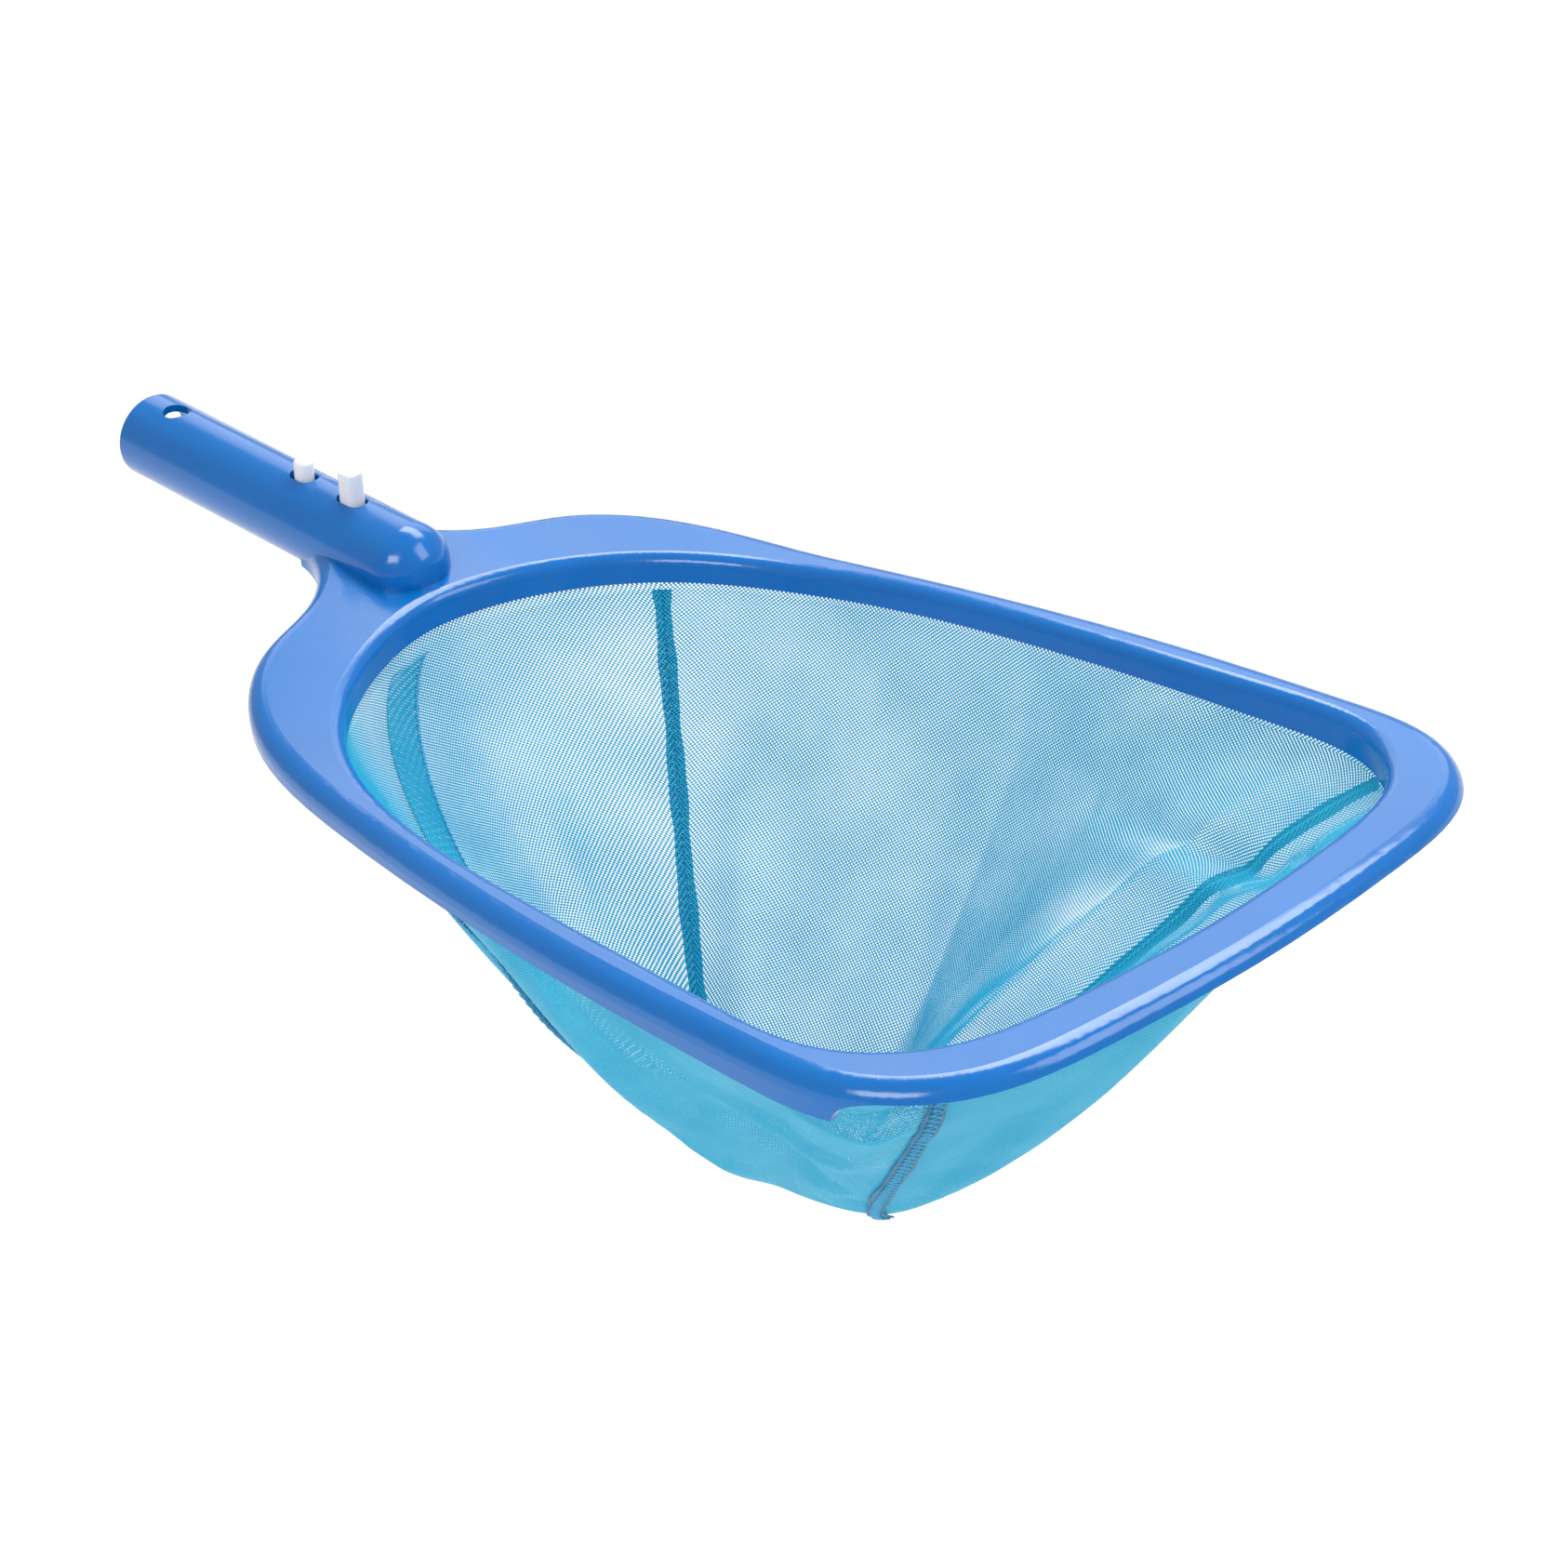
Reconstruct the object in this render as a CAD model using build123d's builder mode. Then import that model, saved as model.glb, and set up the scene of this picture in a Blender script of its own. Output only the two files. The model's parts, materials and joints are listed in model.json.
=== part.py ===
"""Leaf skimmer net for a telescopic pole: moulded frame, sewn mesh bag and a sprung pole clip.

Millimetres. The origin is the centre of the handle's open end, +X runs forward to the front lip,
+Z is up, square to the ring. The handle drops towards the ring by HANDLE_PITCH.
"""
from build123d import *
from math import atan2, cos, hypot, pi, radians, sin
import os

os.makedirs("parts", exist_ok=True)

# ---- handle ------------------------------------------------------------------------------------
HANDLE_OD = 28.5            # slips inside a 1-1/4 in pole
HANDLE_WALL = 2.5
SHAFT_LENGTH = 78.0         # straight stretch before the lock button's slot
DRAFT = 0.25                # the stretch behind the neck plate grows by this much in radius
HANDLE_PITCH = 5.35         # drop of the handle's axis towards the ring, degrees
NOSE_START = 136.0          # along the axis from the open end, where the nose begins to round
NOSE_LENGTH = 12.5
NOSE_FLAT = 2.0             # radius of the small flat at the nose's tip
BORE_DEPTH = 126.0
HANG_HOLE_AT = 15.5
HANG_HOLE_D = 9.5
SLOT_RUN = 2.3              # room for each button to tip forward or back in its slot
SLOT_SIDE = 0.4

# ---- ring --------------------------------------------------------------------------------------
RING_X = 330.0              # ring reference point, forward of the handle's open end
RING_Z = -28.0              # plane of the ring's inner rim
CREST = 4.3                 # the band's crest above the inner rim
OUTER_ROUND = 6.0
INNER_ROUND = 4.0
SHELL_WALL = 2.2
SKIRT_SIDE = -4.6           # underside of the walls along the sides
SKIRT_CORNER = -7.4         # underside at the front corners
LIP_UNDER = -0.6            # underside of the front lip, where the skirt is cut away
LIP_CUT_X = 119.0           # the cut-away starts here
LIP_CUT_RUN = 12.0
NECK_RISE_X = -100.0        # behind this the band climbs to meet the handle
REAR_END_X = -240.0         # side views reach back this far, behind the neck's own end
NECK_TOP = 20.0             # top of the neck plate at its rear end
NECK_UNDER = 7.5            # underside of the neck plate at its rear end
CHANNEL_END_X = -196.0      # the neck is solid behind this

# ---- retaining strips and hem ------------------------------------------------------------------
HEM_GAP = 0.15
HEM_THICK = 1.0
STRIP_THICK = 2.6
STRIP_TALL = 5.0
STRIP_BREAK = 14.0          # gap between the ends of neighbouring strips

# ---- bag ---------------------------------------------------------------------------------------
BAG_TOP = -5.0
BAG_BOTTOM = -134.0
BAG_CENTRE = (-20.0, 0.0)   # middle of the mouth
KEEL_CENTRE = (-24.0, -10.0)
KEEL_HALF_LENGTH = 42.0
KEEL_HALF_WIDTH = 13.0
FULLNESS = (1.22, 0.86, 1.38, 1.42, 1.42, 1.08, 1.28, 0.96)    # every eighth of a turn from ahead:
                            # 1 is a straight wall, 2 a quarter ellipse
MESH_THICK = 1.0
BAG_EDGE_OUT = 1.4          # the bag's outside lies this far under the ring's inner wall
BAG_LEVELS = (-5.0, -40.0, -80.0, -112.0, -134.0)
BAG_POINTS = 28             # points round each level of the bag
BAG_CLEAR = 0.4             # below the wall edges
BOTTOM_SPLIT = -118.0
SEAM_GAP = 0.3
SEAM_WIDTH = 5.5
SEAM_THICK = 1.0
REAR_RIGHT_AT = 153.0       # seam positions round the mouth, degrees from straight ahead
REAR_LEFT_AT = 212.0
FRONT_RIGHT_AT = 35.0
FRONT_LEFT_AT = 332.0
OVERLAP_AT = 183.0
OVERLAP_WIDTH = 17.0
OVERLAP_END = -75.0

# ---- spring clip -------------------------------------------------------------------------------
CLIP_PIVOT_AT = 38.0
CLIP_END_AT = 121.0
CLIP_WIDTH = 9.0
CLIP_BEND_GAP = 0.35        # between the bend and the button arm
CLIP_THICK = 2.2
CLIP_UPPER = 7.9            # middle of the button arm above the axis
CLIP_LOWER = -9.7           # middle of the base arm
LOCK_AT = 85.0
LOCK_D = 6.5
LOCK_PROUD = 5.7
RELEASE_AT = 110.0
RELEASE_LENGTH = 7.5
RELEASE_WIDTH = 6.5
RELEASE_PROUD = 10.0
RELEASE_SLANT = 8.0

OUTER_HALF = [
    (-236, 12), (-221, 17), (-203, 35), (-191, 61), (-168, 84), (-113, 101.5), (-40, 113),
    (30, 119.3), (88, 120.8), (124, 116.5), (147, 97), (157.5, 56), (160.6, 0),
]
INNER_HALF = [
    (-176, 0), (-166, 37), (-142, 68), (-100, 89.5), (-20, 102.7), (70, 108.3),
    (104, 106), (127, 88.5), (137.5, 52), (140.7, 0),
]


# ---- shared curves -----------------------------------------------------------------------------
def handle_plane(along=0.0, height=0.0):
    """Plane whose X runs forward along the handle's axis and whose Z is square to it, upwards."""
    pitch = radians(HANDLE_PITCH)
    forward = Vector(cos(pitch), 0, -sin(pitch))
    upward = Vector(sin(pitch), 0, cos(pitch))
    return Plane(origin=forward * along + upward * height, x_dir=forward, z_dir=upward)


def ring_points(points):
    """Ring coordinates moved to the part's frame."""
    return [(RING_X + x, y) for x, y in points]


def both_sides(points):
    """Half outline and its mirror image as one run of points, from the rear round the front and back."""
    front = ring_points(points)
    return front + [(x, -y) for x, y in reversed(front) if y > 0]


def smooth_line(points, closed, grow):
    """Curve through the points, pushed outwards by grow along its own normals."""
    line = Spline(*both_sides(points), periodic=closed).edge()
    if not grow:
        return line
    pushed = []
    for x, y in both_sides(points):
        heading = line.tangent_at(Vector(x, y, 0))
        pushed.append((x - heading.Y * grow, y + heading.X * grow))
    return Spline(*pushed, periodic=closed).edge()


def outline_face(points, closed, grow):
    """Whole outline as a face; an open one is closed by a straight line across the neck's rear end."""
    run = smooth_line(points, closed, grow)
    with BuildSketch() as whole:
        with BuildLine():
            add(run)
            if not closed:
                Line(run @ 1, run @ 0)
        make_face()
    return whole.sketch


def inner_face(grow=0.0):
    """The ring's opening, grown outwards when asked."""
    return outline_face(INNER_HALF, True, grow)


def outer_face(grow=0.0):
    """The ring and neck outline, grown outwards when asked."""
    return outline_face(OUTER_HALF, False, grow)


def underside(low, front, rear):
    """Lower edge of the walls from the front lip back to the neck, drawn in the active line."""
    lip = RING_X + LIP_CUT_X
    rise = RING_X + NECK_RISE_X
    Line((front, low + LIP_UNDER), (lip + LIP_CUT_RUN, low + LIP_UNDER))
    Spline(
        (lip + LIP_CUT_RUN, low + LIP_UNDER), (lip, low + SKIRT_CORNER),
        tangents=[(-1, -0.1), (-0.3, -1)],
    )
    Spline(
        (lip, low + SKIRT_CORNER), (RING_X + 20, low + SKIRT_SIDE), (rise, low + SKIRT_SIDE),
        tangents=[(-1, 0.02), (-1, 0)],
    )
    Spline(
        (rise, low + SKIRT_SIDE), (RING_X - 176, low + 1.0), (rear, low + NECK_UNDER + 1.6),
        tangents=[(-1, 0), (-1, 0.12)],
    )


def side_profile(top_drop=0.0, deep=None):
    """Side view of the band as a face: crest line above, wall edges (or a deep line) below."""
    top = RING_Z - top_drop
    front = RING_X + 170
    rear = RING_X + REAR_END_X
    rise = RING_X + NECK_RISE_X
    rear_top = top + NECK_TOP + 2.6
    with BuildSketch(Plane.XZ) as side:
        with BuildLine():
            Line((front, top + CREST), (rise, top + CREST))
            Spline(
                (rise, top + CREST), (RING_X - 190, top + 13.4), (rear, rear_top),
                tangents=[(-1, 0), (-1, 0.18)],
            )
            if deep is None:
                underside(RING_Z, front, rear)
                Line((front, top + CREST), (front, RING_Z + LIP_UNDER))
                Line((rear, RING_Z + NECK_UNDER + 1.6), (rear, rear_top))
            else:
                Polyline((front, top + CREST), (front, deep), (rear, deep), (rear, rear_top))
        make_face()
    return side.sketch


# ---- frame -------------------------------------------------------------------------------------
def channel():
    """Hollow of the ring, open below, that the walls and the band close round."""
    outline = outer_face(-SHELL_WALL)
    opening = inner_face(SHELL_WALL)
    crest_view = side_profile(top_drop=SHELL_WALL, deep=RING_Z - 40)
    with BuildPart() as hollow:
        with BuildSketch(Plane.XY.offset(RING_Z - 30)):
            add(outline)
            add(opening, mode=Mode.SUBTRACT)
        extrude(amount=70)
        with BuildSketch(Plane.XZ):
            add(crest_view)
        extrude(amount=200, both=True, mode=Mode.INTERSECT)
        with Locations((RING_X + CHANNEL_END_X - 100, 0, RING_Z)):
            Box(200, 300, 140, mode=Mode.SUBTRACT)
    return hollow.part


def handle_solid(radius, length, nose):
    """Round bar along the handle's axis from the open end, with a blunt rounded nose when asked."""
    with BuildPart() as bar:
        with BuildSketch(handle_plane()):
            with BuildLine():
                Line((0, 0), (0, radius))
                if nose:
                    Line((0, radius), (SHAFT_LENGTH, radius))
                    Line((SHAFT_LENGTH, radius), (length, radius + DRAFT))
                    Spline(
                        (length, radius + DRAFT), (length + nose * 0.72, radius * 0.70),
                        (length + nose, NOSE_FLAT), tangents=[(1, 0), (0, -1)],
                    )
                    Line((length + nose, NOSE_FLAT), (length + nose, 0))
                else:
                    Line((0, radius), (length, radius))
                    Line((length, radius), (length, 0))
                Line((length + nose, 0), (0, 0))
            make_face()
        revolve(axis=Axis((0, 0, 0), tuple(handle_plane().x_dir)))
    return bar.part


def slot_cutter(along, run, width):
    """Upright slot through the handle's top wall."""
    with BuildPart() as cutter:
        with BuildSketch(handle_plane(along, 6.0)):
            if run > width:
                SlotOverall(run, width)
            else:
                Circle(width / 2)
        extrude(amount=12)
    return cutter.part


band_outline = outer_face()
band_opening = inner_face()
crest_view = side_profile(deep=RING_Z - 40)
band_view = side_profile()
ring_hollow = channel()
handle_body = handle_solid(HANDLE_OD / 2, NOSE_START, NOSE_LENGTH)
handle_bore = handle_solid(HANDLE_OD / 2 - HANDLE_WALL, BORE_DEPTH, 0)
hang_hole = slot_cutter(HANG_HOLE_AT, 0, HANG_HOLE_D)
lock_slot = slot_cutter(LOCK_AT, LOCK_D + 2 * SLOT_RUN, LOCK_D + 2 * SLOT_SIDE)
release_slot = slot_cutter(RELEASE_AT, RELEASE_LENGTH + 2 * SLOT_RUN, RELEASE_WIDTH + 2 * SLOT_SIDE)

with BuildPart() as frame_shell:
    # band and neck plate: plan outline cut to the crest line and rounded, not yet hollow
    with BuildSketch(Plane.XY.offset(RING_Z - 30)):
        add(band_outline)
        add(band_opening, mode=Mode.SUBTRACT)
    extrude(amount=70)
    with BuildSketch(Plane.XZ):
        add(crest_view)
    extrude(amount=200, both=True, mode=Mode.INTERSECT)
    upper = [e for e in frame_shell.edges() if min((e @ 0.1).Z, (e @ 0.9).Z) > RING_Z + CREST - 0.1]
    rims = [e for e in upper if e.length > 100]
    outside = [e for e in rims if not RING_X - 170 < (e @ 0.5).X < RING_X + 150]
    fillet(outside, OUTER_ROUND)
    upper = [e for e in frame_shell.edges() if min((e @ 0.1).Z, (e @ 0.9).Z) > RING_Z + CREST - 0.1]
    inside = [
        e for e in upper
        if e.length > 100 and abs((e @ 0).Y) < 91 and RING_X - 170 < (e @ 0.5).X < RING_X + 145
    ]
    fillet(inside, INNER_ROUND)
    # hollow underside and the wall edges
    add(ring_hollow, mode=Mode.SUBTRACT)
    with BuildSketch(Plane.XZ):
        add(band_view)
    extrude(amount=200, both=True, mode=Mode.INTERSECT)
    # handle tube with its round nose on the neck plate
    add(handle_body)
    add(handle_bore, mode=Mode.SUBTRACT)
    add(hang_hole, mode=Mode.SUBTRACT)
    add(lock_slot, mode=Mode.SUBTRACT)
    add(release_slot, mode=Mode.SUBTRACT)
frame_shell.part.label = "frame_shell"
export_step(frame_shell.part, "parts/frame_shell.step")


# ---- spring clip -------------------------------------------------------------------------------
def clip_strip(start, end, middle):
    """Flat spring arm along the handle."""
    with BuildPart() as strip:
        with BuildSketch(handle_plane(height=middle - CLIP_THICK / 2)):
            with Locations(((start + end) / 2, 0)):
                Rectangle(end - start, CLIP_WIDTH)
        extrude(amount=CLIP_THICK)
    return strip.part


base_strip = clip_strip(CLIP_PIVOT_AT, CLIP_END_AT - 8, CLIP_LOWER)
with BuildPart() as clip_base_arm:
    # lower arm on the bore's floor and the U bend that joins it to the button arm
    add(base_strip)
    bend_middle = (CLIP_UPPER + CLIP_LOWER) / 2
    bend_radius = (CLIP_UPPER - CLIP_LOWER) / 2
    side = handle_plane(CLIP_PIVOT_AT, bend_middle)
    with BuildSketch(Plane(side.origin, x_dir=side.x_dir, z_dir=-side.y_dir)):
        Circle(bend_radius + CLIP_THICK / 2)
        Circle(bend_radius - CLIP_THICK / 2, mode=Mode.SUBTRACT)
        with Locations((50, 0)):
            Rectangle(100, 100, mode=Mode.SUBTRACT)
    extrude(amount=CLIP_WIDTH / 2, both=True)
clip_base_arm.part.label = "clip_base_arm"
export_step(clip_base_arm.part, "parts/clip_base_arm.step")

clip_button_arm = clip_strip(CLIP_PIVOT_AT + CLIP_BEND_GAP, CLIP_END_AT, CLIP_UPPER)
clip_button_arm.label = "clip_button_arm"
export_step(clip_button_arm, "parts/clip_button_arm.step")

with BuildPart() as lock_button:
    with BuildSketch(handle_plane(LOCK_AT, CLIP_UPPER + CLIP_THICK / 2)):
        Circle(LOCK_D / 2)
    extrude(amount=HANDLE_OD / 2 + LOCK_PROUD - CLIP_UPPER - CLIP_THICK / 2)
    fillet(lock_button.edges().sort_by(Axis.Z)[-1], 1.6)
lock_button.part.label = "lock_button"
export_step(lock_button.part, "parts/lock_button.step")

with BuildPart() as release_button:
    with BuildSketch(handle_plane(RELEASE_AT, CLIP_UPPER + CLIP_THICK / 2)):
        RectangleRounded(RELEASE_LENGTH, RELEASE_WIDTH, 2.2)
    extrude(amount=HANDLE_OD / 2 + RELEASE_PROUD + 2 - CLIP_UPPER - CLIP_THICK / 2)
    # the finger pad slopes down towards the open end
    slope = handle_plane(RELEASE_AT, HANDLE_OD / 2 + RELEASE_PROUD).rotated((0, -RELEASE_SLANT, 0))
    split(bisect_by=slope, keep=Keep.BOTTOM)
    fillet(release_button.edges().filter_by(lambda e: (e @ 0.5).Z > (slope.origin.Z - 0.9)), 1.0)
release_button.part.label = "release_button"
export_step(release_button.part, "parts/release_button.step")


# ---- retaining strips and hem ------------------------------------------------------------------
def under_view(drop):
    """Side view of everything below the walls' lower edges."""
    low = RING_Z - drop
    front = RING_X + 170
    rear = RING_X + REAR_END_X
    with BuildSketch(Plane.XZ) as side:
        with BuildLine():
            underside(low, front, rear)
            Polyline(
                (rear, low + NECK_UNDER + 1.6), (rear, low - 200), (front, low - 200),
                (front, low + LIP_UNDER),
            )
        make_face()
    return side.sketch


def wall_ring(near, far, low, high):
    """Upright band that follows the ring's opening, between two distances outside it."""
    outside_line = inner_face(far)
    inside_line = inner_face(near)
    upper_view = side_profile(top_drop=high, deep=RING_Z - 40)
    lower_view = side_profile(top_drop=low, deep=RING_Z - 80)
    with BuildPart() as band:
        with BuildSketch(Plane.XY.offset(RING_Z - 30)):
            add(outside_line)
            add(inside_line, mode=Mode.SUBTRACT)
        extrude(amount=70)
        with BuildSketch(Plane.XZ):
            add(upper_view)
        extrude(amount=200, both=True, mode=Mode.INTERSECT)
        with BuildSketch(Plane.XZ):
            add(lower_view)
        extrude(amount=200, both=True, mode=Mode.SUBTRACT)
    return band.part


def wedge(from_angle, to_angle, low, high, gap):
    """Sector of the mouth between two directions, its sides leaning with the bag's axis."""
    levels = []
    for z in (low, high):
        cx, cy = bag_centre(z)
        middle = radians((from_angle + to_angle) / 2)
        half = radians((to_angle - from_angle) / 2)
        push = gap / 2 / sin(half)
        apex = (cx + push * cos(middle), cy + push * sin(middle))
        arms = [radians(from_angle), middle, radians(to_angle)]
        reach = 420.0
        points = [apex] + [(apex[0] + reach * cos(a), apex[1] + reach * sin(a)) for a in arms]
        with BuildSketch(Plane.XY.offset(RING_Z + z)) as level:
            with BuildLine():
                Polyline(*[(RING_X + x, y) for x, y in points], close=True)
            make_face()
        levels.append(level.sketch)
    return loft(levels, ruled=True)


def bag_centre(z):
    """Middle of the bag at a height below the rim; the hanging bag leans a little."""
    share = (z - BAG_TOP) / (BAG_BOTTOM - BAG_TOP)
    x = BAG_CENTRE[0] + share * (KEEL_CENTRE[0] - BAG_CENTRE[0])
    y = BAG_CENTRE[1] + share * (KEEL_CENTRE[1] - BAG_CENTRE[1])
    return x, y


SECTORS = {
    "right": (FRONT_RIGHT_AT, REAR_RIGHT_AT),
    "rear": (REAR_RIGHT_AT, REAR_LEFT_AT),
    "left": (REAR_LEFT_AT, FRONT_LEFT_AT),
    "front": (FRONT_LEFT_AT, 360 + FRONT_RIGHT_AT),
}

HEM_NEAR = SHELL_WALL + HEM_GAP
STRIP_NEAR = HEM_NEAR + HEM_THICK + HEM_GAP
hem_ring = wall_ring(HEM_NEAR, HEM_NEAR + HEM_THICK, 8.3, 3.4)
strip_ring = wall_ring(STRIP_NEAR, STRIP_NEAR + STRIP_THICK, 8.3, 8.3 - STRIP_TALL)

for place, (start, end) in SECTORS.items():
    hem_sector = wedge(start, end, -40, 40, SEAM_GAP)
    strip_sector = wedge(start, end, -40, 40, STRIP_BREAK)
    with BuildPart() as hem:
        add(hem_ring)
        add(hem_sector, mode=Mode.INTERSECT)
    hem.part.label = f"hem_{place}"
    export_step(hem.part, f"parts/hem_{place}.step")
    with BuildPart() as retainer:
        add(strip_ring)
        add(strip_sector, mode=Mode.INTERSECT)
    retainer.part.label = f"retainer_{place}"
    export_step(retainer.part, f"parts/retainer_{place}.step")


# ---- bag ---------------------------------------------------------------------------------------
mouth_line = Spline(*both_sides(INNER_HALF), periodic=True).edge()


def mouth_radius(angle):
    """Distance from the middle of the mouth to the ring's inner edge, in a direction in radians."""
    middle = RING_X + BAG_CENTRE[0]
    wanted = abs(atan2(sin(angle), cos(angle)))
    # half of the curve runs from straight behind the middle to straight ahead of it
    behind, ahead = 0.0, 0.5
    for _ in range(20):
        share = (behind + ahead) / 2
        point = mouth_line.position_at(share)
        if abs(atan2(point.Y, point.X - middle)) > wanted:
            behind = share
        else:
            ahead = share
    return hypot(point.X - middle, point.Y)


def fullness(angle):
    """How much the wall bellies in a direction, straight between the values every eighth of a turn."""
    eighths = angle / (pi / 4) % len(FULLNESS)
    before = int(eighths)
    after = (before + 1) % len(FULLNESS)
    return FULLNESS[before] + (eighths - before) * (FULLNESS[after] - FULLNESS[before])


def bag_radius(angle, z):
    """Distance of the bag's outside from its own middle at a height below the rim."""
    share = min(max((z - BAG_TOP) / (BAG_BOTTOM - BAG_TOP), 0.0), 1.0)
    full = fullness(angle)
    spread = (1 - share ** full) ** (1 / full)
    keel = 1 / hypot(cos(angle) / KEEL_HALF_LENGTH, sin(angle) / KEEL_HALF_WIDTH)
    return keel + spread * (MOUTH[angle] + BAG_EDGE_OUT - keel)


ANGLES = [2 * pi * i / BAG_POINTS for i in range(BAG_POINTS)]
MOUTH = {angle: mouth_radius(angle) for angle in ANGLES}


def bag_level(z, grow):
    """Closed outline of the bag at one height."""
    cx, cy = bag_centre(z)
    points = []
    for angle in ANGLES:
        r = bag_radius(angle, z) + grow
        points.append((RING_X + cx + r * cos(angle), cy + r * sin(angle)))
    with BuildSketch(Plane.XY.offset(RING_Z + z)) as level:
        with BuildLine():
            Spline(*points, periodic=True)
        make_face()
    return level.sketch


def bag_solid(grow):
    """The bag as a solid lump, grown or shrunk, with its top cut just below the wall edges."""
    levels = [bag_level(z, grow) for z in BAG_LEVELS]
    levels[-1] = bag_level(BAG_BOTTOM, grow).moved(Location((0, 0, -grow)))
    brim = levels[0].moved(Location((0, 0, -RING_Z - BAG_TOP)))
    below = under_view(BAG_CLEAR)
    with BuildPart() as lump:
        loft(levels)
        with BuildSketch(Plane.XY.offset(RING_Z + BAG_TOP)):
            add(brim)
        extrude(amount=16)
        with BuildSketch(Plane.XZ):
            add(below)
        extrude(amount=200, both=True, mode=Mode.INTERSECT)
    return lump.part


def slab(angle, width, low, high):
    """Upright plate through the bag's middle in one direction, leaning with the bag."""
    levels = []
    heading = radians(angle)
    side = (-sin(heading) * width / 2, cos(heading) * width / 2)
    reach = (300 * cos(heading), 300 * sin(heading))
    for z in (low, high):
        cx, cy = bag_centre(z)
        corners = [
            (cx + side[0], cy + side[1]), (cx - side[0], cy - side[1]),
            (cx - side[0] + reach[0], cy - side[1] + reach[1]),
            (cx + side[0] + reach[0], cy + side[1] + reach[1]),
        ]
        with BuildSketch(Plane.XY.offset(RING_Z + z)) as level:
            with BuildLine():
                Polyline(*[(RING_X + x, y) for x, y in corners], close=True)
            make_face()
        levels.append(level.sketch)
    return loft(levels, ruled=True)


def export_node(solid, name):
    """Label a finished piece and write its STEP file."""
    solid.label = name
    export_step(solid, f"parts/{name}.step")


outside_lump = bag_solid(0.0)
inside_lump = bag_solid(-MESH_THICK)
seam_outside = bag_solid(SEAM_GAP + SEAM_THICK)
seam_inside = bag_solid(SEAM_GAP)
overlap_outside = bag_solid(-MESH_THICK - SEAM_GAP)
overlap_inside = bag_solid(-MESH_THICK - SEAM_GAP - SEAM_THICK)

with BuildPart() as mesh_skin:
    add(outside_lump)
    add(inside_lump, mode=Mode.SUBTRACT)
with BuildPart() as seam_skin:
    add(seam_outside)
    add(seam_inside, mode=Mode.SUBTRACT)
with BuildPart() as overlap_skin:
    add(overlap_outside)
    add(overlap_inside, mode=Mode.SUBTRACT)

PANEL_NAMES = {
    "right": "bag_right_panel",
    "rear": "bag_rear_panel",
    "left": "bag_left_panel",
    "front": "bag_front_panel",
}
for place, (start, end) in SECTORS.items():
    sector = wedge(start, end, BOTTOM_SPLIT, 12, SEAM_GAP)
    with BuildPart() as panel:
        add(mesh_skin.part)
        add(sector, mode=Mode.INTERSECT)
    export_node(panel.part, PANEL_NAMES[place])

with BuildPart() as bag_bottom_panel:
    add(mesh_skin.part)
    with Locations((RING_X, 0, RING_Z + BOTTOM_SPLIT - SEAM_GAP + 150)):
        Box(600, 400, 300, mode=Mode.SUBTRACT)
export_node(bag_bottom_panel.part, "bag_bottom_panel")

SEAMS = {
    "rear_right": REAR_RIGHT_AT,
    "rear_left": REAR_LEFT_AT,
    "front_right": FRONT_RIGHT_AT,
    "front_left": FRONT_LEFT_AT,
}
for place, angle in SEAMS.items():
    line = slab(angle, SEAM_WIDTH, BOTTOM_SPLIT, 12)
    with BuildPart() as seam:
        add(seam_skin.part)
        add(line, mode=Mode.INTERSECT)
    export_node(seam.part, f"seam_{place}")

overlap_line = slab(OVERLAP_AT, OVERLAP_WIDTH, OVERLAP_END, 12)
with BuildPart() as rear_overlap_strip:
    add(overlap_skin.part)
    add(overlap_line, mode=Mode.INTERSECT)
export_node(rear_overlap_strip.part, "rear_overlap_strip")
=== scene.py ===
"""Leaf skimmer net: looks of the moulded frame, the pole clip and the sewn mesh bag.

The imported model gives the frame, the clip, the buttons and the retaining strips. The bag, its hem,
its seams and the lap at the rear are made here as cloth that follows one bag shape, in metres.
"""

import json
import logging
from collections.abc import Callable
from dataclasses import dataclass, field
from enum import Enum

import bmesh
import bpy
import numpy as np
from mathutils import Matrix, Vector


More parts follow.
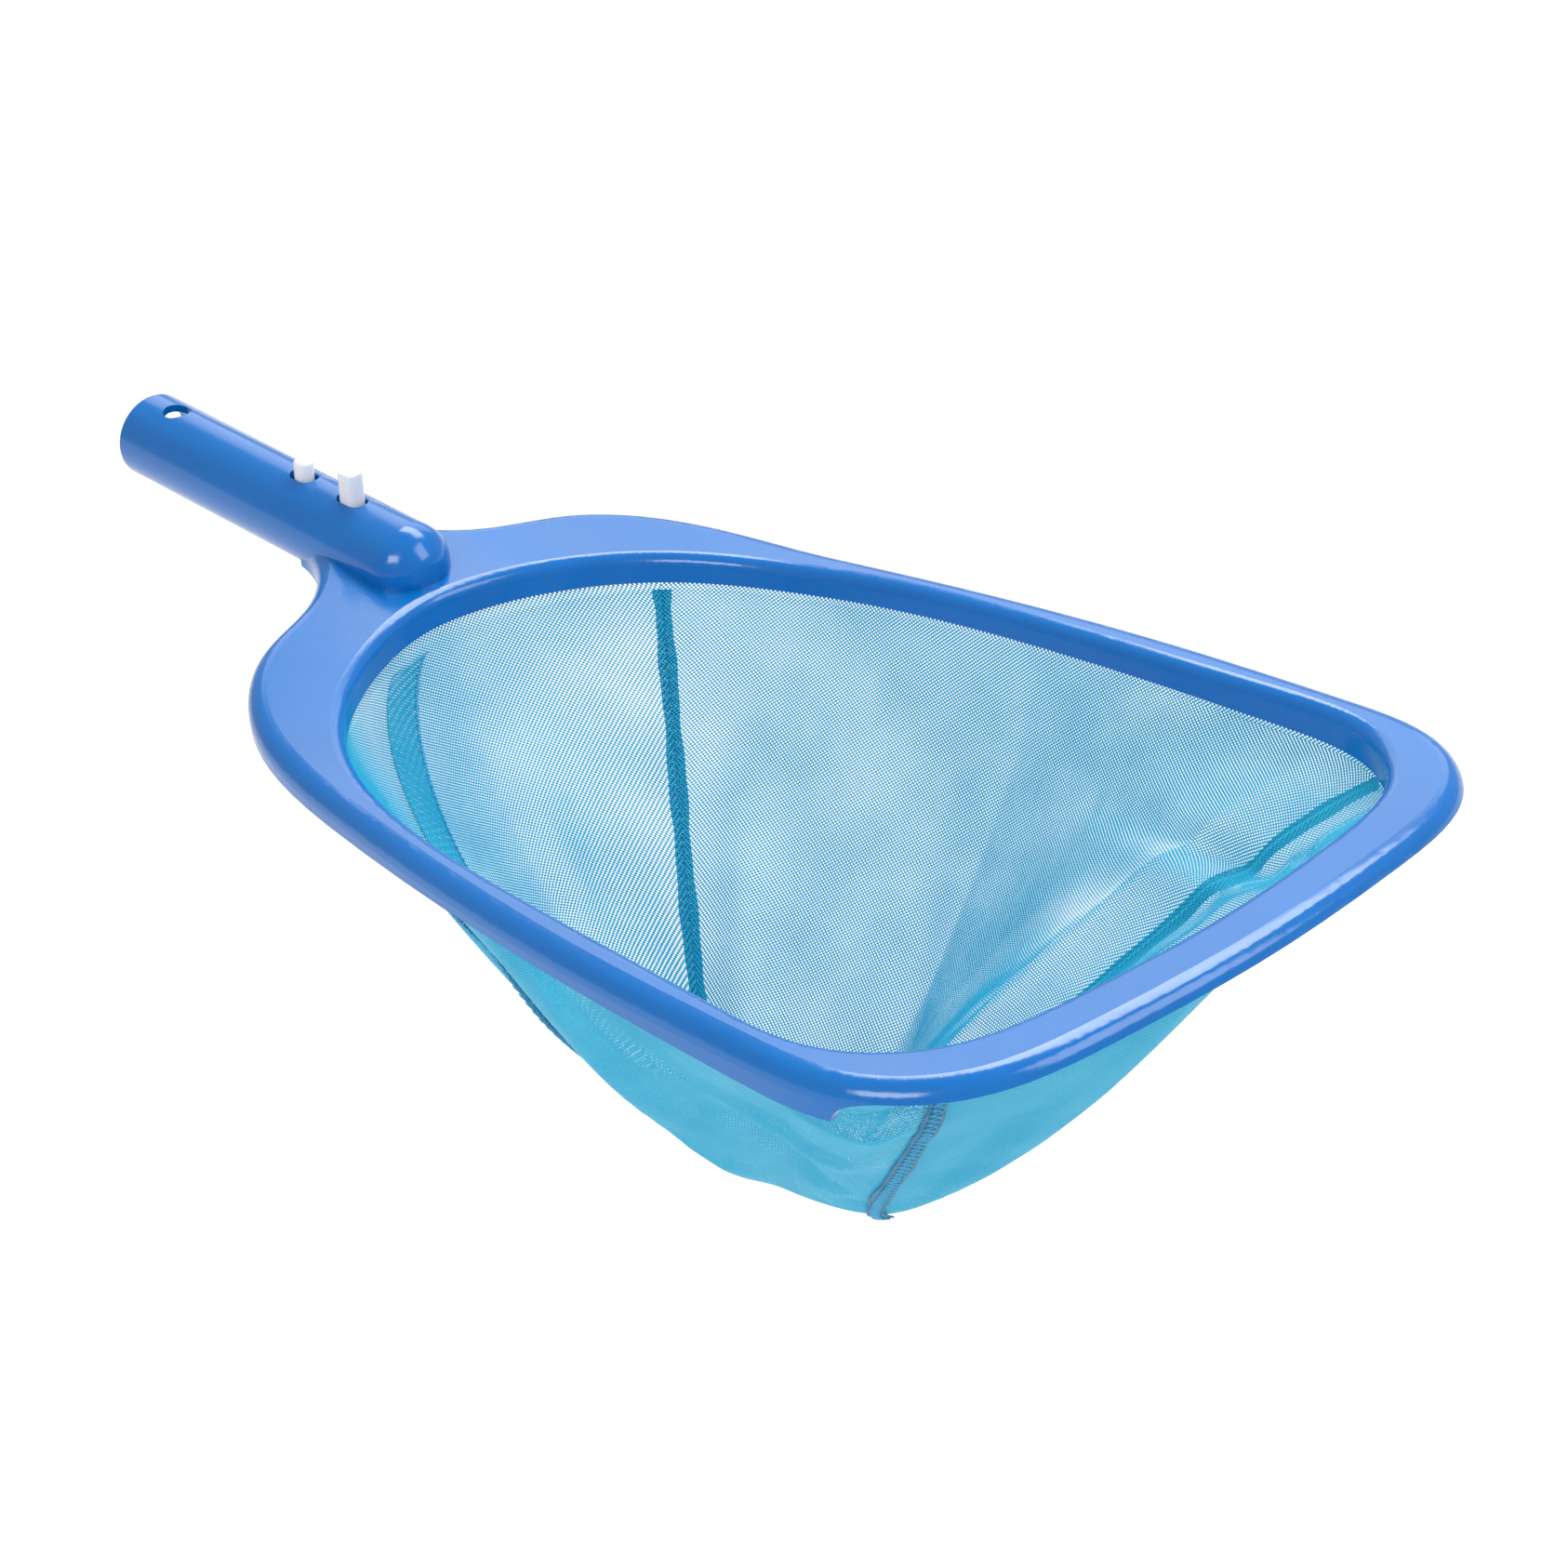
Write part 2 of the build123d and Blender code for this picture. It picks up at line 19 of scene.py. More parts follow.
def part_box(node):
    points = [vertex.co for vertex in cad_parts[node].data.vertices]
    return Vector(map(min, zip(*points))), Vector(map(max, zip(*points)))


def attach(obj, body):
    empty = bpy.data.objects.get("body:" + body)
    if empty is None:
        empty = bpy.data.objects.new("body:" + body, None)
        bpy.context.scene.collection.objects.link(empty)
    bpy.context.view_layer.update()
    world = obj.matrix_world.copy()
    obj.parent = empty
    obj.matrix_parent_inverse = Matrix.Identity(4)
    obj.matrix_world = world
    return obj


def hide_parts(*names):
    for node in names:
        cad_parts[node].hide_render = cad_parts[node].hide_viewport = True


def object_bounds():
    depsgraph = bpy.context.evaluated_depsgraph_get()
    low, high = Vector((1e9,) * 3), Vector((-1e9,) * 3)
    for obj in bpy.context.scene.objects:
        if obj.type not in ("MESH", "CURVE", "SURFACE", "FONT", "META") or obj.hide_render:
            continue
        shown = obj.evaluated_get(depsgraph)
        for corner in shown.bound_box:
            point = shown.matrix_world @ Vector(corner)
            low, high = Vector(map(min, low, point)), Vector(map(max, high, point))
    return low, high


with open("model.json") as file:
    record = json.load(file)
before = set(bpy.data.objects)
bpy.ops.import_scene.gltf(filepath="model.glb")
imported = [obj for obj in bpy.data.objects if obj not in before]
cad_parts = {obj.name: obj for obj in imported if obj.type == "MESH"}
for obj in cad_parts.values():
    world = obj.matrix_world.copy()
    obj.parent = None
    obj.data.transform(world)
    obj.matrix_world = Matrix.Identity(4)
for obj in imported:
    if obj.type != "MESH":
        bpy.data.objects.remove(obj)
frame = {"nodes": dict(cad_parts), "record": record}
CAD_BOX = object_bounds()
LOG = logging.getLogger("leaf_net")
Array = np.ndarray
Run = Callable[[Array], Array]
Colour = tuple[float, float, float]
METRES = 1e-3  # one millimetre
DRIFT = (0.3, 0.7)  # grey range of a noise texture that holds most of its area
TILTED_UP = (0.31, 0.17, 0.93)  # a direction that no seam runs along


class Hold(Enum):
    """How a piece of cloth is kept in place."""

    HUNG = "hung"
    STRETCHED = "stretched"
    FOLDED = "folded"


class Seam(Enum):
    """The four seams: direction at the mouth and at the keel in degrees, and how late it turns."""

    FRONT_RIGHT = (38.5, 12.0, 3.0)
    REAR_RIGHT = (153.5, 180.0, 3.0)
    REAR_LEFT = (238.0, 190.0, 1.5)
    FRONT_LEFT = (331.0, 357.0, 3.0)

    def heading(self, depth: Array) -> Array:
        """Direction of the seam in radians at each depth down the bag."""
        mouth, keel, lateness = self.value
        return np.radians(mouth + (keel - mouth) * np.clip(depth, 0, 1) ** lateness)


class Side(Enum):
    """The four sides of the bag, each with the seams where its panel starts and ends."""

    RIGHT = (Seam.FRONT_RIGHT, Seam.REAR_RIGHT)
    REAR = (Seam.REAR_RIGHT, Seam.REAR_LEFT)
    LEFT = (Seam.REAR_LEFT, Seam.FRONT_LEFT)
    FRONT = (Seam.FRONT_LEFT, Seam.FRONT_RIGHT)


def ease(share: Array) -> Array:
    """Smooth step: 0 up to 0, 1 from 1 on, with level ends between."""
    held = np.clip(share, 0, 1)
    return held * held * (3 - 2 * held)


# ---- finishes ----------------------------------------------------------------------------------
class Graph:
    """Small helper that adds nodes to one material and joins them."""

    def __init__(self, name: str) -> None:
        """Makes the material and finds its main shader."""
        self.material = bpy.data.materials.new(name)
        self.material.use_nodes = True
        self.tree = self.material.node_tree
        self.shader = self.tree.nodes["Principled BSDF"]

    def node(self, kind: str, **values: object) -> bpy.types.Node:
        """Adds a node.

        Args:
            kind: the node's type name.
            values: properties of the node to set.

        Returns:
            The new node.
        """
        made = self.tree.nodes.new(kind)
        for key, value in values.items():
            setattr(made, key, value)
        return made

    def join(self, source: object, target: object) -> None:
        """Links an output socket to an input socket."""
        self.tree.links.new(source, target)

    def math(self, operation: str, first: object, second: object = None, third: object = None) -> object:
        """Adds a math node.

        Args:
            operation: the node's operation.
            first: a socket or a number.
            second: a socket or a number.
            third: a socket or a number.

        Returns:
            The node's output socket.
        """
        made = self.node("ShaderNodeMath", operation=operation)
        for place, value in enumerate((first, second, third)):
            if value is None:
                continue
            if isinstance(value, (int, float)):
                made.inputs[place].default_value = float(value)
            else:
                self.join(value, made.inputs[place])
        return made.outputs[0]

    def spread(self, value: object, low: float, high: float, to_low: float, to_high: float) -> object:
        """Maps a socket from one range to another, with its ends held."""
        made = self.node("ShaderNodeMapRange")
        for place, number in enumerate((low, high, to_low, to_high), start=1):
            made.inputs[place].default_value = number
        self.join(value, made.inputs[0])
        return made.outputs[0]

    def noise(self, coordinates: object, scale: float, detail: float = 3.0) -> object:
        """Adds a noise texture and gives its grey output."""
        made = self.node("ShaderNodeTexNoise")
        made.inputs["Scale"].default_value = scale
        made.inputs["Detail"].default_value = detail
        self.join(coordinates, made.inputs["Vector"])
        return made.outputs[0]

    def tint(self, share: object, first: Colour, second: Colour) -> object:
        """Mixes two colours by a socket and gives the colour."""
        made = self.node("ShaderNodeMix", data_type="RGBA")
        made.inputs[6].default_value = (*first, 1.0)
        made.inputs[7].default_value = (*second, 1.0)
        self.join(share, made.inputs[0])
        return made.outputs[2]

    def relief(self, height: object, strength: float, distance: float) -> None:
        """Turns a height into a bump on the main shader."""
        made = self.node("ShaderNodeBump")
        made.inputs["Strength"].default_value = strength
        made.inputs["Distance"].default_value = distance
        self.join(height, made.inputs["Height"])
        self.join(made.outputs[0], self.shader.inputs["Normal"])


@dataclass(frozen=True)
class MouldedPlastic:
    """Injection-moulded plastic with faint flow marks, scuffs and a slightly uneven gloss.

    Attributes:
        name: material name.
        tone: main colour, linear.
        deep: colour of the thicker, darker-looking areas.
        roughness: lowest and highest roughness.
        coat: strength of the clear gloss on top.
        glow: how far light scatters under the surface, as a share.
        flow_stretch: how the flow marks run out along the handle.
        flow_scale: size of the flow marks, per metre.
        scuff_scale: size of the scuffs, per metre.
        grain_scale: size of the mould's grain, per metre.
        ripple_scale: size of the slow ripple, per metre.
        glow_depth: how deep light scatters, metres.
    """

    name: str
    tone: Colour
    deep: Colour
    roughness: tuple[float, float]
    coat: float = 0.0
    glow: float = 0.0
    flow_stretch: tuple[float, float, float] = (1.0, 3.5, 3.5)
    flow_scale: float = 14.0
    scuff_scale: float = 420.0
    grain_scale: float = 900.0
    ripple_scale: float = 60.0
    glow_depth: float = 0.004

    def make(self) -> bpy.types.Material:
        """Builds the material's nodes and returns it."""
        graph = Graph(self.name)
        place = graph.node("ShaderNodeTexCoord").outputs["Object"]
        stretch = graph.node("ShaderNodeMapping")
        stretch.inputs["Scale"].default_value = self.flow_stretch
        graph.join(place, stretch.inputs["Vector"])
        flow = graph.noise(stretch.outputs[0], self.flow_scale)
        shader = graph.shader
        graph.join(graph.tint(graph.spread(flow, 0.35, 0.7, 0.0, 1.0), self.tone, self.deep),
                   shader.inputs["Base Color"])
        scuffs = graph.noise(stretch.outputs[0], self.scuff_scale, 4.0)
        worn = graph.math("ADD", graph.math("MULTIPLY", graph.spread(scuffs, 0.5, 0.8, 0.0, 1.0), 0.5),
                          graph.math("MULTIPLY", flow, 0.5))
        graph.join(graph.spread(worn, 0.15, 0.6, *self.roughness), shader.inputs["Roughness"])
        grain = graph.noise(place, self.grain_scale, 2.0)
        ripple = graph.noise(place, self.ripple_scale, 1.0)
        graph.relief(graph.math("ADD", graph.math("MULTIPLY", grain, 0.12), ripple), 0.12, 0.0004)
        shader.inputs["IOR"].default_value = 1.49
        shader.inputs["Coat Weight"].default_value = self.coat
        shader.inputs["Coat Roughness"].default_value = 0.12
        shader.inputs["Subsurface Weight"].default_value = self.glow
        shader.inputs["Subsurface Radius"].default_value = (self.glow_depth,) * 3
        return graph.material


@dataclass(frozen=True)
class Knit:
    """Warp-knitted mesh: fine staggered holes between threads, read from a UV map in metres.

    Attributes:
        name: material name.
        thread: colour of the threads, linear.
        shade: darker colour, mixed in along the columns as painted shadow of the threads, and in the
            denser drifts.
        pitch: distance between columns and between rows of holes, metres.
        open_from: where the hole pattern opens; nearer to 1 closes the holes.
        sparkle: how strongly painted glints of the filaments show in the base colour.
        through: strength of a constant glow in the thread colour, painted light that stands in for light
            coming through the fine filaments from behind.
        edge_blur: softness of a hole's edge, on the pattern's own scale.
        slant_range: how far the cloth turns away when its holes start to close, and when they end.
        slant_close: how much the holes close over that range.
        glint_colour: colour of the painted glints, linear.
        glint_scale: painted glints per metre.
        sway_scale: size of the threads' sideways wander, per metre.
        drift_scale: size of the denser patches, per metre.
    """

    name: str
    thread: Colour
    shade: Colour
    pitch: tuple[float, float] = (0.00150, 0.00125)
    open_from: float = 0.1
    sparkle: float = 0.0
    through: float = 0.22
    edge_blur: float = 0.07
    slant_range: tuple[float, float] = (0.55, 0.92)
    slant_close: float = 0.85
    glint_colour: Colour = (0.55, 0.85, 0.95)
    glint_scale: float = 900.0
    sway_scale: float = 240.0
    drift_scale: float = 28.0

    def make(self) -> bpy.types.Material:
        """Builds the material's nodes and returns it.

        The pattern is the product of two cosines, one across and one along the cloth. It is high
        at staggered spots, and those are the holes. Seen at a slant the threads stand in front of
        the holes, so the pattern closes as the cloth turns away.
        """
        graph = Graph(self.name)
        uv = graph.node("ShaderNodeUVMap", uv_map="cloth").outputs[0]
        parts = graph.node("ShaderNodeSeparateXYZ")
        graph.join(uv, parts.inputs[0])
        sway = graph.spread(graph.noise(uv, self.sway_scale, 2.0), 0.0, 1.0, -0.7, 0.7)
        columns = graph.math("MULTIPLY", parts.outputs[0], 2 * np.pi / self.pitch[0])
        across = graph.math("ADD", columns, sway)
        along = graph.math("MULTIPLY", parts.outputs[1], 2 * np.pi / self.pitch[1])
        weave = graph.math("MULTIPLY", graph.math("COSINE", across), graph.math("COSINE", along))
        drift = graph.noise(uv, self.drift_scale, 3.0)
        slant = graph.node("ShaderNodeLayerWeight").outputs["Facing"]
        edge = graph.math("ADD", graph.spread(drift, *DRIFT, -0.06, 0.06), self.open_from)
        edge = graph.math("ADD", edge, graph.spread(slant, *self.slant_range, 0.0, self.slant_close))
        hole = graph.math("SUBTRACT", weave, edge)
        cover = graph.spread(hole, -self.edge_blur, self.edge_blur, 1.0, 0.0)
        shader = graph.shader
        graph.join(cover, shader.inputs["Alpha"])
        # Painted shade along the columns stands in for the threads' shadows; the drift noise adds random
        # denser patches.
        column_shadow = graph.spread(graph.math("COSINE", across), -1.0, 1.0, 0.0, 0.5)
        shadow_and_drift = graph.math("ADD", column_shadow, graph.spread(drift, *DRIFT, 0.0, 0.5))
        colour = graph.tint(shadow_and_drift, self.thread, self.shade)
        # Painted highlight: pale spots mixed into the base colour stand in for glints on the filaments.
        if self.sparkle:
            glint_cells = graph.node("ShaderNodeTexVoronoi")
            glint_cells.inputs["Scale"].default_value = self.glint_scale
            graph.join(uv, glint_cells.inputs["Vector"])
            glint_share = graph.spread(glint_cells.outputs["Distance"], 0.0, 0.35, self.sparkle, 0.0)
            final = graph.node("ShaderNodeMix", data_type="RGBA")
            final.inputs[7].default_value = (*self.glint_colour, 1.0)
            graph.join(glint_share, final.inputs[0])
            graph.join(colour, final.inputs[6])
            colour = final.outputs[2]
        graph.join(colour, shader.inputs["Base Color"])
        # Painted glow: the thread colour is also emitted at a fixed strength, standing in for light that
        # passes the filaments.
        graph.join(colour, shader.inputs["Emission Color"])
        shader.inputs["Emission Strength"].default_value = self.through
        graph.join(graph.spread(drift, *DRIFT, 0.42, 0.6), shader.inputs["Roughness"])
        graph.relief(graph.math("MULTIPLY", weave, -1.0), 0.5, 0.00025)
        shader.inputs["Sheen Weight"].default_value = 0.05
        shader.inputs["Sheen Roughness"].default_value = 0.4
        shader.inputs["Specular IOR Level"].default_value = 0.25
        return graph.material


@dataclass(frozen=True)
class Thread:
    """Twisted sewing thread, striped along its run.

    Attributes:
        name: material name.
        tone: colour, linear.
        groove_shade: darker colour between the strands, painted shade where they meet.
        strands: stripes per metre, on the wave texture's own scale.
    """

    name: str
    tone: Colour
    groove_shade: Colour
    strands: float = 900.0

    def make(self) -> bpy.types.Material:
        """Builds the material's nodes and returns it."""
        graph = Graph(self.name)
        place = graph.node("ShaderNodeTexCoord").outputs["Object"]
        twist = graph.node("ShaderNodeTexWave")
        twist.inputs["Scale"].default_value = self.strands
        twist.inputs["Distortion"].default_value = 3.0
        graph.join(place, twist.inputs["Vector"])
        stripes = twist.outputs["Fac"]
        # Painted shade: the stripes mix in a darker colour between the strands.
        graph.join(graph.tint(stripes, self.tone, self.groove_shade), graph.shader.inputs["Base Color"])
        graph.join(graph.spread(stripes, 0.0, 1.0, 0.45, 0.65), graph.shader.inputs["Roughness"])
        graph.relief(stripes, 0.4, 0.0001)
        return graph.material


# ---- shape of the bag --------------------------------------------------------------------------
@dataclass(frozen=True)
class Crease:
    """A soft ridge or furrow between two places on the bag, in millimetres from the ring's middle.

    Attributes:
        start: where it begins.
        end: where it runs out.
        width: half its width.
        lift: how far it stands out of the bag; negative falls inwards.
    """

    start: tuple[float, float, float]
    end: tuple[float, float, float]
    width: float
    lift: float

    def height(self, points: Array) -> Array:
        """Bell curve of the distance to the line, tapering to nothing at both ends."""
        start = np.array(self.start)
        run = np.array(self.end) - start
        share = np.clip((points - start) @ run / (run @ run), 0.0, 1.0)
        gap = np.linalg.norm(points - start - share[..., None] * run, axis=-1)
        taper = np.sin(np.pi * np.clip(share, 0.04, 0.96)) ** 0.5
        return self.lift * taper * np.exp(-((gap / self.width) ** 2))


@dataclass(frozen=True)
class Wave:
    """A slow swell that runs round the bag and turns a little on its way down.

    Attributes:
        lobes: swells round the bag.
        twist: how far they turn down to the keel, radians.
        start: where the first one stands, radians.
        lift: their height, millimetres.
    """

    lobes: int
    twist: float
    start: float
    lift: float

    def height(self, angle: Array, depth: Array) -> Array:
        """Height of the swells in millimetres."""
        return self.lift * np.sin(self.lobes * angle + self.twist * depth + self.start)


@dataclass(frozen=True)
class BagForm:
    """The hanging bag: a mouth outline that narrows to a keel, in millimetres from the ring's middle.

    The wall's distance from the bag's middle goes from the mouth's to the keel's as a superellipse:
    spread to the power of its fullness plus depth share to the same power is one.

    Attributes:
        mouth_half: half of the mouth's outline, from the rear to the front.
        top: highest start of the hanging wall.
        bottom: lowest level of the bag.
        centre: middle of the mouth.
        keel_centre: middle of the keel.
        keel: half the keel's length and half its width.
        full: fullness every eighth of a turn from straight ahead.
        wall_out: how far the cloth stands outside the mouth's outline.
        hem_out: the same at the hem.
        brim: depth over which the cloth rises behind the ring's wall.
        origin: the ring's middle in the row frame.
        wall_low: the wall's lower edge along the sides.
        corner_drop: how much lower that edge is at the front corners.
        corner_run: where that drop starts, and how long it is.
        lip_run: where the front lip is cut away, and how long the cut takes.
        lip_rise: how much higher the edge is in front of the cut.
        rear_run: where the edge starts to rise to the neck, and how long that is.
        rear_climb: how much it rises over that run.
        rear_bend: how late it rises.
        under_edge: how far under the wall's edge the cloth starts to curve in.
        behind_edge: how far the cloth's top stands above that edge.
        tuck: how soon the cloth's distance outside the outline dies out down the bag.
        keel_dip: how much the keel's middle hangs below its rim.
        rim_calm: depth where folds begin, and how far they take to grow.
        keel_calm: depth where folds are gone, and how far they take to fade.
        swell_calm: the same for the slow swells.
        swells: slow swells of the cloth.
        creases: folds that show in the hanging cloth.
    """

    mouth_half: tuple[tuple[float, float], ...] = (
        (-176, 0), (-166, 37), (-142, 68), (-100, 89.5), (-20, 102.7), (70, 108.3),
        (104, 106), (127, 88.5), (137.5, 52), (140.7, 0),
    )
    top: float = -5.0
    bottom: float = -134.0
    centre: tuple[float, float] = (-20.0, 0.0)
    keel_centre: tuple[float, float] = (-24.0, -10.0)
    keel: tuple[float, float] = (42.0, 13.0)
    full: tuple[float, ...] = (1.22, 0.86, 1.38, 1.42, 1.42, 1.08, 1.28, 0.96)
    wall_out: float = 0.9
    hem_out: float = 2.85
    brim: float = 0.05
    origin: tuple[float, float] = (330.0, -28.0)
    wall_low: float = -4.6
    corner_drop: float = 2.8
    corner_run: tuple[float, float] = (20.0, 99.0)
    lip_run: tuple[float, float] = (119.0, 12.0)
    lip_rise: float = 6.8
    rear_run: tuple[float, float] = (-100.0, 76.0)
    rear_climb: float = 5.6
    rear_bend: float = 1.6
    under_edge: float = 3.0
    behind_edge: float = 1.0
    tuck: float = 1.6
    keel_dip: float = 1.5
    rim_calm: tuple[float, float] = (0.06, 0.22)
    keel_calm: tuple[float, float] = (1.04, 0.2)
    swell_calm: tuple[float, float] = (0.95, 0.5)
    swells: tuple[Wave, ...] = (Wave(4, 3.1, 0.7, 1.0), Wave(7, -4.0, 2.0, 0.6))
    creases: tuple[Crease, ...] = (
        Crease((18, 88, -42), (112, 72, -30), 5.5, 3.4),
        Crease((22, 84, -52), (108, 66, -40), 7.0, -2.4),
        Crease((92, 84, -14), (124, 70, -34), 4.5, 2.6),
        Crease((-112, 56, -70), (-62, 4, -128), 8.0, -3.4),
        Crease((-128, 34, -84), (-72, -2, -126), 7.0, 2.6),
        Crease((-150, 10, -66), (-96, -8, -112), 6.0, -2.0),
        Crease((62, -92, -10), (112, -76, -34), 7.5, -5.5),
        Crease((50, -88, -26), (102, -66, -58), 8.0, 3.6),
        Crease((-60, -86, -22), (-18, -46, -108), 12.0, -3.8),
        Crease((-112, -66, -28), (-62, -36, -116), 10.0, 3.4),
        Crease((14, -80, -40), (22, -30, -124), 9.0, -3.2),
        Crease((-20, -84, -30), (58, -52, -92), 9.0, 2.6),
        Crease((96, -34, -60), (36, -16, -126), 8.0, -2.6),
        Crease((104, 36, -56), (36, 0, -128), 10.0, 2.0),
        Crease((-40, 72, -74), (-10, 2, -130), 10.0, 2.4),
    )

    def mouth_line(self, count: int = 720) -> Array:
        """Smooth closed curve through the mouth's points.

        A periodic cubic spline on the distance between points: its second derivatives solve the
        usual band of equations, which makes slope and curvature run on.

        Args:
            count: how many places to work out.

        Returns:
            Array of count places, x and y.
        """
        half = np.array(self.mouth_half, dtype=float)
        mirrored = half[::-1][1:-1] * (1, -1)
        knots = np.vstack([half, mirrored])
        ring = np.vstack([knots, knots[:1]])
        steps = np.linalg.norm(np.diff(ring, axis=0), axis=1)
        number = len(knots)
        slopes = np.diff(ring, axis=0) / steps[:, None]
        here = np.arange(number)
        before = np.roll(steps, 1)
        bands = np.zeros((number, number))
        bands[here, here] = 2 * (steps + before)
        bands[here, (here + 1) % number] = steps
        bands[here, (here - 1) % number] = before
        second = np.linalg.solve(bands, 6 * (slopes - np.roll(slopes, 1, axis=0)))
        along = np.concatenate([[0.0], np.cumsum(steps)])
        wanted = np.linspace(0.0, along[-1], count, endpoint=False)
        span = np.clip(np.searchsorted(along, wanted, side="right") - 1, 0, number - 1)
        after = (wanted - along[span])[:, None]
        left = steps[span][:, None] - after
        width = steps[span][:, None]
        from_second = second[span]
        to_second = second[(span + 1) % number]
        start = ring[span]
        end = ring[span + 1]
        return (
            (from_second * left**3 + to_second * after**3) / (6 * width)
            + (start / width - from_second * width / 6) * left
            + (end / width - to_second * width / 6) * after
        )

    def mouth_radius(self, angle: Array) -> Array:
        """Distance from the mouth's middle to the ring's inner edge, in directions in radians."""
        line = self.mouth_line() - self.centre
        heading = np.arctan2(line[:, 1], line[:, 0])
        order = np.argsort(heading)
        wanted = (angle + np.pi) % (2 * np.pi) - np.pi
        return np.interp(wanted, heading[order], np.hypot(*line.T)[order], period=2 * np.pi)

    def wall_edge(self, x: Array) -> Array:
        """Height of the ring wall's lower edge: level, lower at the front corners, rising behind."""
        corner = np.clip((x - self.corner_run[0]) / self.corner_run[1], 0, 1) ** 2
        lip = ease((x - self.lip_run[0]) / self.lip_run[1])
        climb = np.clip((self.rear_run[0] - x) / self.rear_run[1], 0, None) ** self.rear_bend
        return self.wall_low - self.corner_drop * corner + self.lip_rise * lip + self.rear_climb * climb

    def fullness(self, angle: Array) -> Array:
        """How the wall bellies by direction: straight near 1, a quarter ellipse at 2.

        The values stand every eighth of a turn from straight ahead, joined by straight runs.
        """
        turns = np.linspace(0, 2 * np.pi, len(self.full) + 1)
        return np.interp(np.mod(angle, 2 * np.pi), turns, (*self.full, self.full[0]))

    def base(self, angle: Array, depth: Array) -> Array:
        """Plain bag surface.

        Args:
            angle: direction round the mouth, radians.
            depth: 0 at the top edge behind the ring's wall, 1 at the keel's rim, 2 at its middle.

        Returns:
            Places in millimetres from the ring's middle, in the last axis.
        """
        full = self.fullness(angle)
        mouth = self.mouth_radius(angle)
        edge = self.wall_edge(self.centre[0] + mouth * np.cos(angle))
        start = np.minimum(self.top, edge - self.under_edge)
        down = np.clip((depth - self.brim) / (1 - self.brim), 0, 1)
        swing = np.pi / 2 * down
        share = np.sin(swing) ** (2 / full)
        spread = np.maximum(np.cos(swing), 0) ** (2 / full)
        lip = np.clip((self.brim - depth) / self.brim, 0, 1)
        z = start - share * (start - self.bottom)
        z = z + lip * (edge + self.behind_edge - start)
        keel = 1 / np.hypot(np.cos(angle) / self.keel[0], np.sin(angle) / self.keel[1])
        out = self.wall_out + (self.hem_out - self.wall_out) * ease(lip)
        radius = keel + spread * (mouth - keel)
        inner = np.clip(depth - 1, 0, 1)
        radius = radius * (1 - inner) + out * np.clip(1 - down * self.tuck, 0, 1)
        z = z - self.keel_dip * (1 - (1 - inner) ** 2)
        lean = np.clip(share, 0, 1)
        x = self.centre[0] + lean * (self.keel_centre[0] - self.centre[0]) + radius * np.cos(angle)
        y = self.centre[1] + lean * (self.keel_centre[1] - self.centre[1]) + radius * np.sin(angle)
        return np.stack([x, y, z], axis=-1)

    def normal(self, angle: Array, depth: Array) -> Array:
        """Outward direction of the plain surface, from small steps round and down it."""
        small = 1e-3
        held = np.clip(depth, small, 1.9)
        round_it = self.base(angle + small, held) - self.base(angle - small, held)
        down_it = self.base(angle, held + small) - self.base(angle, held - small)
        away = np.cross(down_it, round_it)
        return away / np.maximum(np.linalg.norm(away, axis=-1, keepdims=True), 1e-9)

    def folds(self, angle: Array, depth: Array, points: Array) -> Array:
        """Height of the cloth's folds: creases, plus slow waves that die out at the rim and keel."""
        free = ease((depth - self.rim_calm[0]) / self.rim_calm[1])
        free = free * np.clip((self.keel_calm[0] - depth) / self.keel_calm[1], 0, 1)
        slow = np.clip((self.swell_calm[0] - depth) / self.swell_calm[1], 0, 1)
        waves = sum(swell.height(angle, depth) for swell in self.swells)
        return free * (slow * waves + sum(crease.height(points) for crease in self.creases))

    def surface(self, angle: Array, depth: Array, offset: float = 0.0) -> Array:
        """Finished bag surface.

        Args:
            angle: direction round the mouth, radians.
            depth: see base.
            offset: distance outside the cloth, millimetres.

        Returns:
            Places in metres in the row frame.
        """
        points = self.base(angle, depth)
        away = self.normal(angle, depth)
        lifted = points + away * (self.folds(angle, depth, points) + offset)[..., None]
        return self.in_row_frame(lifted)

    def in_row_frame(self, points: Array) -> Array:
        """Moves places from millimetres round the ring's middle to metres in the row frame."""
        return (points + (self.origin[0], 0.0, self.origin[1])) * METRES


# ---- mesh making -------------------------------------------------------------------------------
def grid_faces(rows: int, columns: int, closed: bool = False) -> Array:
    """Four-cornered faces of a grid whose points are stored row after row."""
    across = columns if closed else columns - 1
    row, column = np.meshgrid(np.arange(rows - 1), np.arange(across), indexing="ij")
    following = (column + 1) % columns
    corners = np.stack(
        [row * columns + column, (row + 1) * columns + column,
         (row + 1) * columns + following, row * columns + following],
        axis=-1,
    )
    return corners.reshape(-1, 4)


def cloth_lengths(points: Array) -> Array:
    """Distance down each column of a grid of points from its first row."""
    steps = np.linalg.norm(np.diff(points, axis=0), axis=-1)
    return np.vstack([np.zeros((1, points.shape[1])), np.cumsum(steps, axis=0)])


